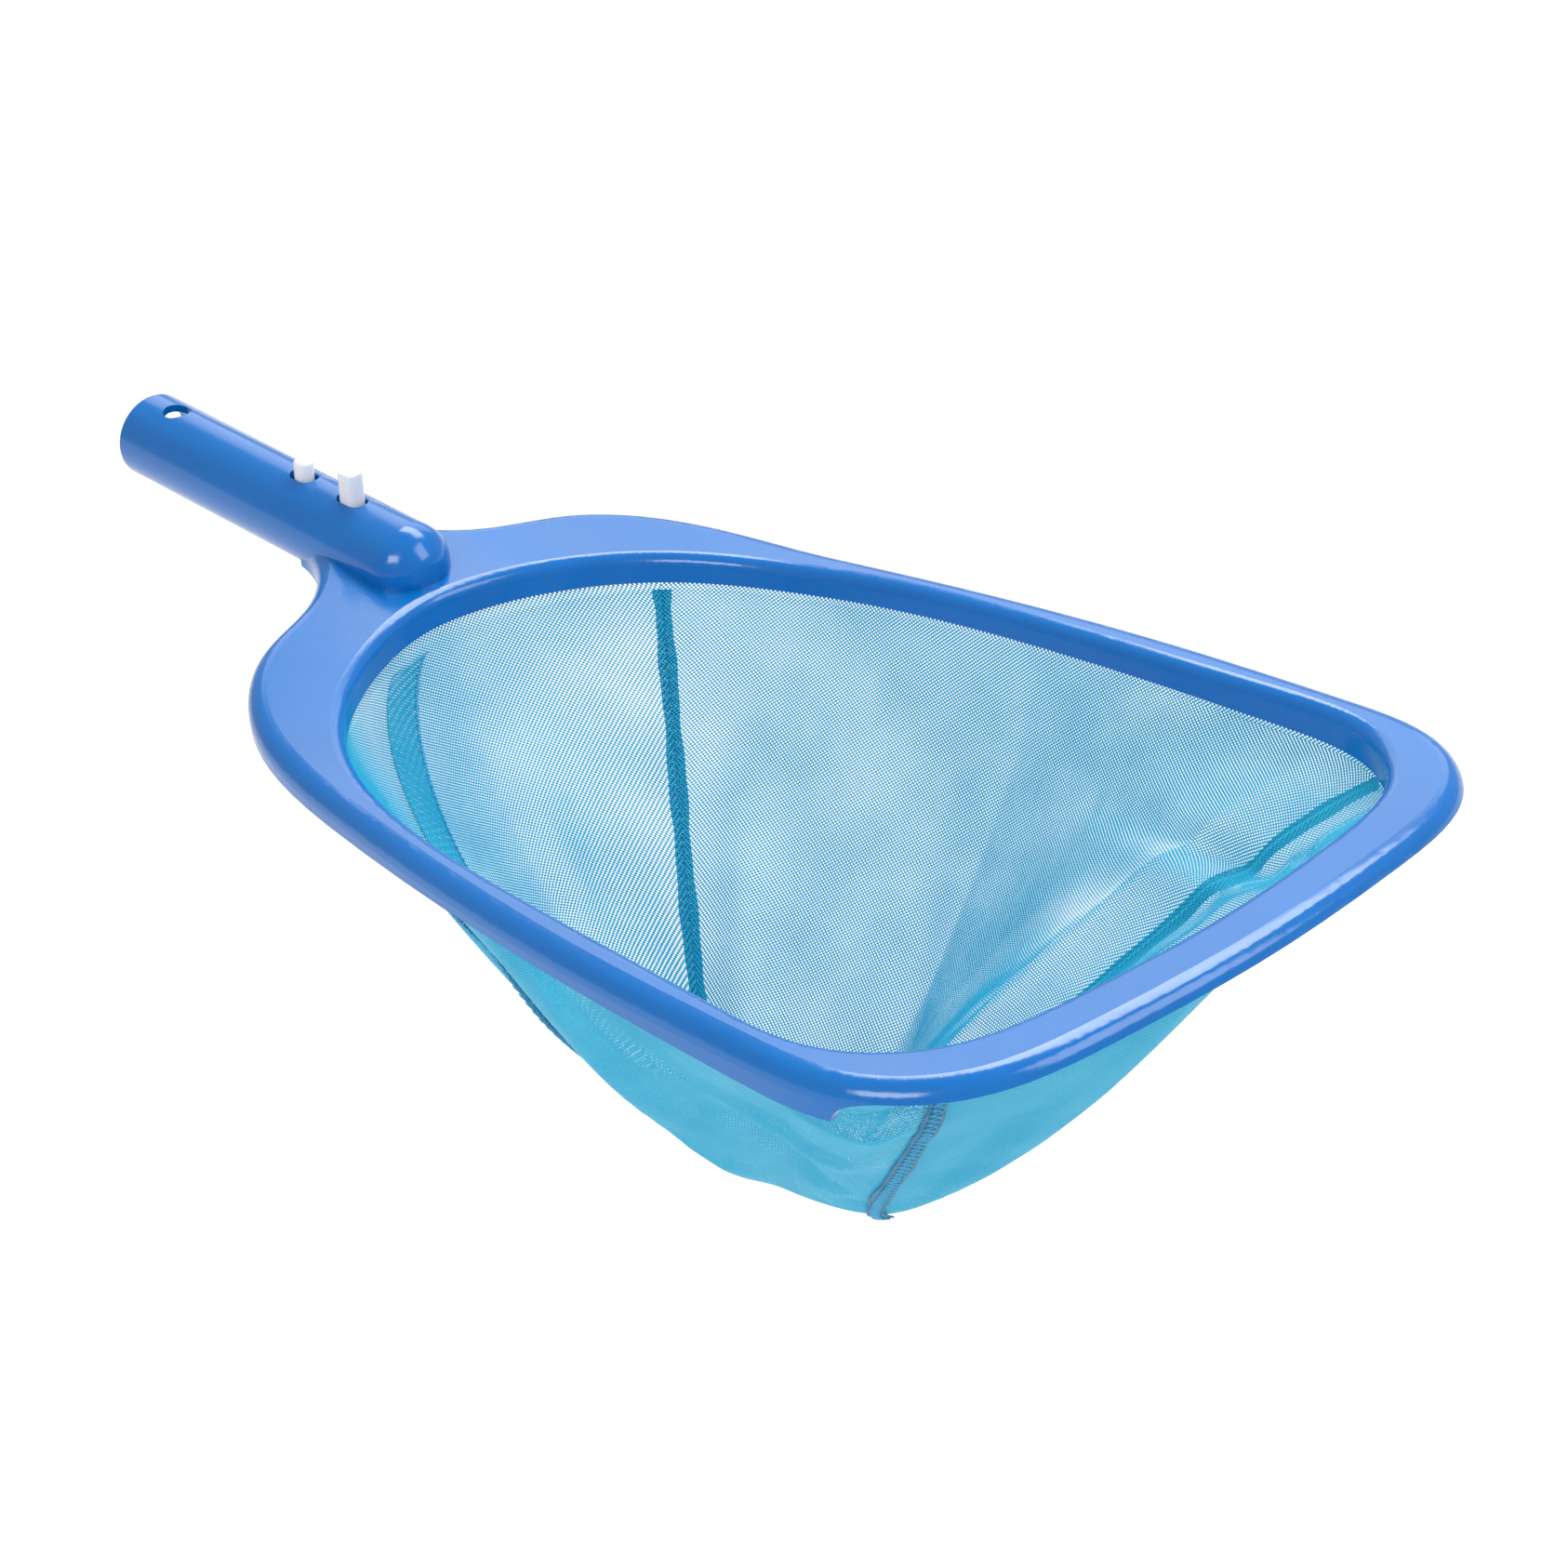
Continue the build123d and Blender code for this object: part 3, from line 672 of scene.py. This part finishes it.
def new_piece(
    name: str, points: Array, faces: Array, uv: Array | None, material: bpy.types.Material
) -> bpy.types.Object:
    """Makes a smooth mesh object that rides on the frame.

    Args:
        name: the piece's name.
        points: places in metres, one per row.
        faces: corners of each face; a triangle gives its last corner twice.
        uv: cloth coordinates of each point in metres, or None.
        material: its finish.

    Returns:
        The new object.
    """
    mesh = bpy.data.meshes.new(name)
    corners_of = [face[:3] if face[2] == face[3] else face for face in faces.tolist()]
    mesh.from_pydata(points.reshape(-1, 3), [], corners_of)
    if uv is not None:
        layer = mesh.uv_layers.new(name="cloth")
        corners = np.empty(len(mesh.loops), dtype=np.int32)
        mesh.loops.foreach_get("vertex_index", corners)
        layer.data.foreach_set("uv", uv.reshape(-1, 2)[corners].astype(np.float32).ravel())
    mesh.polygons.foreach_set("use_smooth", np.ones(len(mesh.polygons), dtype=bool))
    mesh.materials.append(material)
    mesh.update()
    piece = bpy.data.objects.new(name, mesh)
    bpy.context.scene.collection.objects.link(piece)
    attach(piece, "frame")
    return piece


def thicken(piece: bpy.types.Object, thickness: float) -> None:
    """Gives a sheet its real thickness, half to each side."""
    wall = piece.modifiers.new("cloth_thickness", "SOLIDIFY")
    wall.thickness = thickness
    wall.offset = 0.0
    wall.use_even_offset = False


def tube_along(path: Array, radius: float, sides: int = 5) -> tuple[Array, Array]:
    """Round thread along a path, closed at both ends.

    Each ring of points is a circle square to the path there: centre plus radius times cosine and
    sine of two directions across the path.

    Args:
        path: places along the thread, metres.
        radius: the thread's radius, metres.
        sides: points round it.

    Returns:
        Its points and faces.
    """
    ahead = np.gradient(path, axis=0)
    ahead /= np.linalg.norm(ahead, axis=1, keepdims=True)
    first = np.cross(ahead, np.array(TILTED_UP))
    first /= np.linalg.norm(first, axis=1, keepdims=True)
    second = np.cross(ahead, first)
    turn = np.linspace(0, 2 * np.pi, sides, endpoint=False)
    rings = path[:, None] + radius * (
        np.cos(turn)[None, :, None] * first[:, None] + np.sin(turn)[None, :, None] * second[:, None]
    )
    points = np.vstack([rings.reshape(-1, 3), path[:1], path[-1:]])
    around = np.arange(sides)
    following = (around + 1) % sides
    first_middle = len(path) * sides
    last_ring = first_middle - sides
    sleeve = grid_faces(len(path), sides, closed=True)[:, ::-1]
    start = np.stack([following, around, np.full(sides, first_middle)], axis=1)
    end = np.stack([np.full(sides, first_middle + 1), around + last_ring, following + last_ring], axis=1)
    return points, np.vstack([sleeve, start[:, (0, 1, 2, 2)], end[:, (0, 1, 2, 2)]])


@dataclass(frozen=True)
class RearLap:
    """Where the rear panel laps over itself.

    Attributes:
        at_mouth: direction of its middle at the mouth, degrees.
        turn: how far it turns down to the keel, degrees; it hangs straight as the panel narrows.
        half_width: half its width at the mouth, millimetres.
        reach: the bag's half length there, millimetres.
        narrowing: how much of the bag's girth is lost down to the keel.
        stitch_at: share of the half width where its stitches run.
        depths: where it starts and ends.
        stitch_depths: where its stitches start and end.
    """

    at_mouth: float = 185.5
    turn: float = 34.0
    half_width: float = 8.5
    reach: float = 150.0
    narrowing: float = 0.8
    stitch_at: float = 0.88
    depths: tuple[float, float] = (0.05, 0.46)
    stitch_depths: tuple[float, float] = (0.08, 0.45)

    def heading(self, depth: Array) -> Array:
        """Direction of its middle in radians."""
        return np.radians(self.at_mouth + self.turn * depth)

    def half_turn(self, depth: Array) -> Array:
        """Half its width as an angle round the bag, which grows as the bag narrows."""
        return self.half_width / self.reach * (1 + self.narrowing * depth)

    def edge_heading(self, depth: Array) -> Array:
        """Direction of its stitched edge in radians."""
        return self.heading(depth) - self.stitch_at * self.half_turn(depth)


# Flat sizes of the cloth in metres, and the area left after each panel is cut to its tapering shape.
REAR_AREA = 0.17 * 0.17 * 0.66
FRONT_AREA = 0.20 * 0.17 * 0.62


# ---- sub-assemblies ----------------------------------------------------------------------------
@dataclass
class NetFrame:
    """The moulded frame with its retaining strips and the pole clip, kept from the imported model."""

    frame_blue: MouldedPlastic = MouldedPlastic(
        "frame_gloss_blue", (0.001, 0.155, 0.52), (0.001, 0.138, 0.475), (0.14, 0.27), coat=0.15
    )
    strip_blue: MouldedPlastic = MouldedPlastic(
        "strip_satin_blue", (0.008, 0.14, 0.52), (0.006, 0.12, 0.46), (0.4, 0.55)
    )
    button_white: MouldedPlastic = MouldedPlastic(
        "button_natural_white", (0.86, 0.87, 0.9), (0.8, 0.82, 0.86), (0.25, 0.38), glow=0.3
    )
    clip_white: MouldedPlastic = MouldedPlastic(
        "clip_natural_white", (0.82, 0.82, 0.84), (0.76, 0.77, 0.8), (0.35, 0.5), glow=0.2
    )

    def dress(self) -> None:
        """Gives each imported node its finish."""
        finishes = {
            "frame_plastic": self.frame_blue.make(),
            "strip_plastic": self.strip_blue.make(),
            "button_plastic": self.button_white.make(),
            "clip_plastic": self.clip_white.make(),
        }
        for row in frame["record"]["subparts"]:
            finish = finishes.get(row["material_slot"])
            if finish is None:
                continue
            for place in frame["nodes"][row["node"]].material_slots:
                place.material = finish
            LOG.info("%s dressed in %s", row["node"], finish.name)


@dataclass
class MeshBag:
    """The sewn bag: a U-shaped main panel, rear and front panels, hem, seams, lap and stitching.

    Attributes:
        form: the bag's shape.
        rear_lap: where the rear panel laps over itself.
        knit, hem_knit, seam_knit, lap_knit: the mesh of each kind of piece.
        thread: the sewing thread.
        cloth, hem_cloth, seam_cloth: thickness of the mesh, the hem and the seams, metres.
        rows: points down a panel.
        step: distance between points round the bag, millimetres.
        seam_width: width of a folded seam, millimetres.
        seam_out: how far a seam stands outside the bag, millimetres.
        seam_bulge: how much its middle bulges, millimetres.
        stitch_out: how far the stitches stand outside the seam, millimetres.
        stitch_share: width of the stitches as a share of the seam's.
        seam_stitches, lap_stitches: zigzags along one seam and along the lap.
        seam_depths, seam_stitch_depths: where a seam and its stitches start and end.
        lap_stitch_width, lap_stitch_in: width of the lap's stitches and how far they stand inside the
            bag, millimetres.
        sway, ripple: how much a seam's width varies, as a share, and how fast down the bag.
        thread_radius: metres.
        girth_per_turn: the bag's mean radius, which sets the points across a panel, millimetres.
        hem_low: lower edge of the hem along the sides, millimetres from the ring's middle.
        hem_height: the hem's height, millimetres.
        hem_run: where the hem starts to rise to the neck, and how long that is, millimetres.
        hem_climb: how much it rises over that run, millimetres.
        hem_bend: how late it rises.
    """

    form: BagForm = field(default_factory=BagForm)
    rear_lap: RearLap = field(default_factory=RearLap)
    knit: Knit = Knit("bag_knit", (0.014, 0.41, 0.62), (0.008, 0.33, 0.53), open_from=-0.02)
    hem_knit: Knit = Knit("hem_doubled_knit", (0.012, 0.32, 0.55), (0.008, 0.24, 0.46), open_from=0.55)
    seam_knit: Knit = Knit(
        "seam_dense_knit", (0.010, 0.17, 0.33), (0.006, 0.11, 0.24), open_from=0.8, sparkle=0.35
    )
    lap_knit: Knit = Knit("lap_knit", (0.014, 0.41, 0.62), (0.008, 0.33, 0.53), open_from=-0.02)
    thread: Thread = Thread("overlock_thread", (0.10, 0.52, 0.78), (0.03, 0.32, 0.6))
    cloth: float = 0.0004
    hem_cloth: float = 0.0006
    seam_cloth: float = 0.0005
    rows: int = 130
    step: float = 1.3
    seam_width: float = 5.5
    seam_out: float = 0.8
    seam_bulge: float = 0.4
    stitch_out: float = 0.75
    stitch_share: float = 0.86
    seam_stitches: int = 62
    lap_stitches: int = 44
    seam_depths: tuple[float, float] = (0.06, 1.0)
    seam_stitch_depths: tuple[float, float] = (0.065, 0.995)
    lap_stitch_width: float = 1.2
    lap_stitch_in: float = 1.2
    sway: tuple[float, float] = (0.10, 37.0)
    ripple: tuple[float, float] = (0.05, 91.0)
    thread_radius: float = 0.00036
    girth_per_turn: float = 110.0
    hem_low: float = -4.0
    hem_height: float = 4.9
    hem_run: tuple[float, float] = (-100.0, 90.0)
    hem_climb: float = 9.1
    hem_bend: float = 1.5

    def directions(self, side: Side, depth: Array) -> Array:
        """Directions across one panel at each depth, from its first seam to its last."""
        start, end = (seam.heading(depth) for seam in side.value)
        end = np.where(end < start, end + 2 * np.pi, end)
        count = int(np.ptp([start[0], end[0]]) * self.girth_per_turn / self.step)
        return start[:, None] + (end - start)[:, None] * np.linspace(0, 1, count)

    def wall(self, side: Side) -> tuple[Array, Array, Array]:
        """One panel's wall from its top edge to the keel.

        Args:
            side: which panel.

        Returns:
            Points, faces and cloth coordinates.
        """
        down_it = np.linspace(0, 1, self.rows)
        angle = self.directions(side, down_it)
        depth = np.broadcast_to(down_it[:, None], angle.shape)
        points = self.form.surface(angle, depth)
        along = cloth_lengths(points.transpose(1, 0, 2)).T
        uv = np.stack([along - along[:, along.shape[1] // 2, None], cloth_lengths(points)], axis=-1)
        return points, grid_faces(*angle.shape), uv

    def main_panel(self, finish: bpy.types.Material) -> bpy.types.Object:
        """Right wall, bottom and left wall as one sheet, joined where they meet at the keel."""
        blocks = [self.wall(Side.RIGHT), self.wall(Side.LEFT), self.keel_patch()]
        shift = np.cumsum([0] + [block[0].reshape(-1, 3).shape[0] for block in blocks[:-1]])
        points = np.vstack([block[0].reshape(-1, 3) for block in blocks])
        faces = np.vstack([block[1] + move for block, move in zip(blocks, shift)])
        uv = np.vstack([block[2].reshape(-1, 2) for block in blocks])
        piece = new_piece("bag_main_panel", points, faces, uv, finish)
        self.merge(piece)
        return piece

    def keel_patch(self) -> tuple[Array, Array, Array]:
        """The narrow bottom inside the keel's rim, as rings that close on the middle."""
        rim = np.ones(1)
        turns = np.concatenate([self.directions(side, rim)[0, :-1] for side in Side])
        angle, depth = np.meshgrid(turns, np.linspace(1, 2, 14))
        points = self.form.surface(angle, depth)
        middle = self.form.keel_centre[1] * METRES
        uv = np.stack([points[..., 0], points[..., 1] - middle], axis=-1)
        return points, grid_faces(*angle.shape, closed=True), uv

    @staticmethod
    def merge(piece: bpy.types.Object) -> None:
        """Joins points that lie at the same place, which closes the keel."""
        work = bmesh.new()
        work.from_mesh(piece.data)
        bmesh.ops.remove_doubles(work, verts=work.verts, dist=2e-6)
        bmesh.ops.dissolve_degenerate(work, edges=work.edges, dist=1e-7)
        work.to_mesh(piece.data)
        work.free()

    def seam_line(self, heading: Array, depth: Array, offset: float) -> tuple[Array, Array, Array]:
        """Line down the bag.

        Args:
            heading: direction of each of its points, radians.
            depth: where its points lie.
            offset: distance outside the bag, millimetres.

        Returns:
            Its points, the outward directions and the directions across it.
        """
        path = self.form.surface(heading, depth, offset)
        away = self.form.normal(heading, depth)
        across = np.cross(away, np.gradient(path, axis=0))
        return path, away, across / np.linalg.norm(across, axis=1, keepdims=True)

    def strip(
        self, name: str, run: Run, depths: tuple[float, float], width: float, offset: float,
        finish: bpy.types.Material, columns: int = 9,
    ) -> bpy.types.Object:
        """Band of cloth that runs down the bag, following its folds.

        Args:
            name: the piece's name.
            run: gives the direction of its middle at each depth.
            depths: where it starts and ends.
            width: its width, millimetres.
            offset: distance outside the bag, millimetres.
            finish: its material.
            columns: points across.

        Returns:
            The new object.
        """
        depth = np.linspace(*depths, self.rows)
        path, away, across = self.seam_line(run(depth), depth, offset)
        share = np.linspace(-0.5, 0.5, columns)
        sway = self.sway[0] * np.sin(depth * self.sway[1] + width)
        wobble = 1 + sway + self.ripple[0] * np.sin(depth * self.ripple[1])
        reach = share[None, :] * width * wobble[:, None] * METRES
        bulge = (1 - (2 * share) ** 2) * self.seam_bulge * METRES * np.sign(offset)
        points = path[:, None] + across[:, None] * reach[..., None] + away[:, None] * bulge[None, :, None]
        uv = np.stack([reach, cloth_lengths(points)], axis=-1)
        return new_piece(name, points, grid_faces(*reach.shape), uv, finish)

    def lap(self, offset: float, finish: bpy.types.Material) -> bpy.types.Object:
        """Second layer of cloth where the rear panel laps over itself.

        Args:
            offset: distance outside the bag, millimetres.
            finish: its material.

        Returns:
            The new object.
        """
        share, depth = np.meshgrid(np.linspace(-1, 1, 15), np.linspace(*self.rear_lap.depths, self.rows))
        heading = self.rear_lap.heading(depth) + share * self.rear_lap.half_turn(depth)
        points = self.form.surface(heading, depth, offset)
        along = cloth_lengths(points.transpose(1, 0, 2)).T
        uv = np.stack([along, cloth_lengths(points)], axis=-1)
        return new_piece("rear_lap_cloth", points, grid_faces(*share.shape), uv, finish)

    def overlock(
        self, name: str, run: Run, depths: tuple[float, float], width: float, offset: float,
        count: int, finish: bpy.types.Material,
    ) -> bpy.types.Object:
        """Zigzag thread over a seam: its place across swings as a rounded triangle wave."""
        steps = np.linspace(0, 1, count * 6 + 1)
        depth = depths[0] + (depths[1] - depths[0]) * steps
        wave = np.arcsin(0.96 * np.sin(steps * count * 2 * np.pi)) * 2 / np.pi
        path, _, across = self.seam_line(run(depth), depth, offset)
        path = path + across * (0.5 * wave * width * METRES)[:, None]
        points, faces = tube_along(path, self.thread_radius)
        return new_piece(name, points, faces, None, finish)

    def hem(self, side: Side, finish: bpy.types.Material) -> bpy.types.Object:
        """Folded hem held between the ring's wall and its retaining strip."""
        place = side.name.lower()
        low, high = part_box(f"hem_{place}")[:2]
        angle, share = np.meshgrid(self.directions(side, np.zeros(1))[0], np.linspace(0, 1, 6))
        mouth = self.form.mouth_radius(angle) + self.form.hem_out
        x = self.form.centre[0] + mouth * np.cos(angle)
        climb = np.clip((self.hem_run[0] - x) / self.hem_run[1], 0, None) ** self.hem_bend
        z = self.hem_low + self.hem_climb * climb + share * self.hem_height
        points = self.form.in_row_frame(np.stack([x, mouth * np.sin(angle), z], axis=-1))
        points = np.clip(points, np.array(low), np.array(high))
        around = cloth_lengths(points.transpose(1, 0, 2)).T
        uv = np.stack([around, points[..., 2]], axis=-1)
        return new_piece(f"hem_{place}_cloth", points, grid_faces(*angle.shape)[:, ::-1], uv, finish)

    def build(self) -> None:
        knit, hem_knit = self.knit.make(), self.hem_knit.make()
        seam_knit, lap_knit, thread = self.seam_knit.make(), self.lap_knit.make(), self.thread.make()

        main = self.main_panel(knit)
        thicken(main, self.cloth)
        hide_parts("bag_left_panel", "bag_right_panel", "bag_bottom_panel")
        LOG.info("main panel made")

        ends = ((Side.REAR, REAR_AREA, (0.17, 0.17)), (Side.FRONT, FRONT_AREA, (0.20, 0.17)))
        for side, area, size in ends:
            place = side.name.lower()
            points, faces, uv = self.wall(side)
            panel = new_piece(f"bag_{place}_cloth", points, faces, uv, knit)
            thicken(panel, self.cloth)
            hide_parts(f"bag_{place}_panel")
            LOG.info("%s panel made", place)

        for side in Side:
            hem = self.hem(side, hem_knit)
            thicken(hem, self.hem_cloth)
            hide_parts(f"hem_{side.name.lower()}")

        for line in Seam:
            place = line.name.lower()
            seam = self.strip(
                f"seam_{place}_band", line.heading, self.seam_depths, self.seam_width, self.seam_out,
                seam_knit,
            )
            thicken(seam, self.seam_cloth)
            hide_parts(f"seam_{place}")
            stitch = self.overlock(
                f"seam_{place}_overlock", line.heading, self.seam_stitch_depths,
                self.seam_width * self.stitch_share, self.seam_out + self.stitch_out,
                self.seam_stitches, thread,
            )
            LOG.info("seam %s made", place)

        lap = self.lap(-self.seam_out, lap_knit)
        thicken(lap, self.cloth)
        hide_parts("rear_overlap_strip")
        row = self.overlock(
            "rear_lap_stitching", self.rear_lap.edge_heading, self.rear_lap.stitch_depths,
            self.lap_stitch_width, -self.lap_stitch_in, self.lap_stitches, thread,
        )


@dataclass
class Studio:
    """Pale floor, soft lights and the camera.

    Attributes:
        camera_at: the camera's place, metres.
        azimuth, elevation, roll: its direction, degrees.
        lens: focal length, millimetres.
        floor_drop: how far the floor lies below the bag, metres.
        floor_half: half the floor's width, metres.
        target: what the lights face.
    """

    camera_at: tuple[float, float, float] = (1.07035, -0.65089, 0.48547)
    azimuth: float = 49.558
    elevation: float = 27.491
    roll: float = -6.141
    lens: float = 89.7
    floor_drop: float = 0.35
    floor_half: float = 12.0
    target: tuple[float, float, float] = (0.30, 0.0, -0.05)

    def camera(self) -> None:
        """Places the camera: its backward axis from azimuth and elevation, then rolled about it."""
        turn, tip, roll = np.radians([self.azimuth, self.elevation, self.roll])
        back = np.array([np.sin(turn) * np.cos(tip), -np.cos(turn) * np.cos(tip), np.sin(tip)])
        level = np.array([np.cos(turn), np.sin(turn), 0.0])
        above = np.cross(back, level)
        right = np.cos(roll) * level + np.sin(roll) * above
        upward = -np.sin(roll) * level + np.cos(roll) * above
        data = bpy.data.cameras.new("camera")
        data.lens = self.lens
        data.sensor_width = 36.0
        data.clip_end = 60.0
        camera = bpy.data.objects.new("camera", data)
        matrix = np.eye(4)
        matrix[:3] = np.column_stack([right, upward, back, self.camera_at])
        camera.matrix_world = Matrix(matrix.tolist())
        bpy.context.scene.collection.objects.link(camera)
        bpy.context.scene.camera = camera

    def floor(self) -> None:
        """A wide pale floor well below the bag."""
        height = CAD_BOX[0][2] - self.floor_drop
        wide = self.floor_half
        mesh = bpy.data.meshes.new("floor")
        square = ((-wide, -wide), (wide, -wide), (wide, wide), (-wide, wide))
        corners = [(*corner, height) for corner in square]
        mesh.from_pydata(corners, [], [(0, 1, 2, 3)])
        graph = Graph("pale_floor")
        graph.shader.inputs["Base Color"].default_value = (0.10, 0.10, 0.10, 1.0)
        graph.shader.inputs["Roughness"].default_value = 0.9
        graph.shader.inputs["Specular IOR Level"].default_value = 0.0
        graph.shader.inputs["Emission Color"].default_value = (1.0, 1.0, 1.0, 1.0)
        graph.shader.inputs["Emission Strength"].default_value = 0.96
        mesh.materials.append(graph.material)
        floor = bpy.data.objects.new("floor", mesh)
        bpy.context.scene.collection.objects.link(floor)

    def softbox(
        self, name: str, place: tuple[float, float, float], size: tuple[float, float], power: float
    ) -> None:
        """Rectangular area light that faces the net."""
        data = bpy.data.lights.new(name, "AREA")
        data.shape = "RECTANGLE"
        data.size, data.size_y = size
        data.energy = power
        light = bpy.data.objects.new(name, data)
        light.location = place
        light.rotation_euler = (Vector(self.target) - Vector(place)).to_track_quat("-Z", "Y").to_euler()
        bpy.context.scene.collection.objects.link(light)

    def build(self) -> None:
        """Makes camera, floor, lights and the pale surroundings."""
        self.camera()
        self.floor()
        world = bpy.data.worlds.new("pale_surroundings")
        world.use_nodes = True
        world.node_tree.nodes["Background"].inputs["Color"].default_value = (1.0, 1.0, 1.0, 1.0)
        world.node_tree.nodes["Background"].inputs["Strength"].default_value = 0.45
        bpy.context.scene.world = world
        self.softbox("overhead", (0.0, 0.9, 1.3), (1.5, 0.6), 22.0)
        self.softbox("near_side", (0.9, -1.3, 1.0), (1.0, 0.5), 12.0)
        self.softbox("front_lip", (1.5, 0.7, 0.9), (0.8, 0.8), 8.0)
        self.softbox("far_side", (-0.70, 1.05, 0.72), (1.6, 0.7), 4.5)
        bpy.context.scene.view_settings.view_transform = "Standard"


def main() -> None:
    """Builds the studio, then dresses the frame and makes the bag."""
    logging.basicConfig(level=logging.INFO, format="%(message)s")
    Studio().build()
    NetFrame().dress()
    MeshBag().build()
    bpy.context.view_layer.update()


if __name__ == "__main__":
    main()
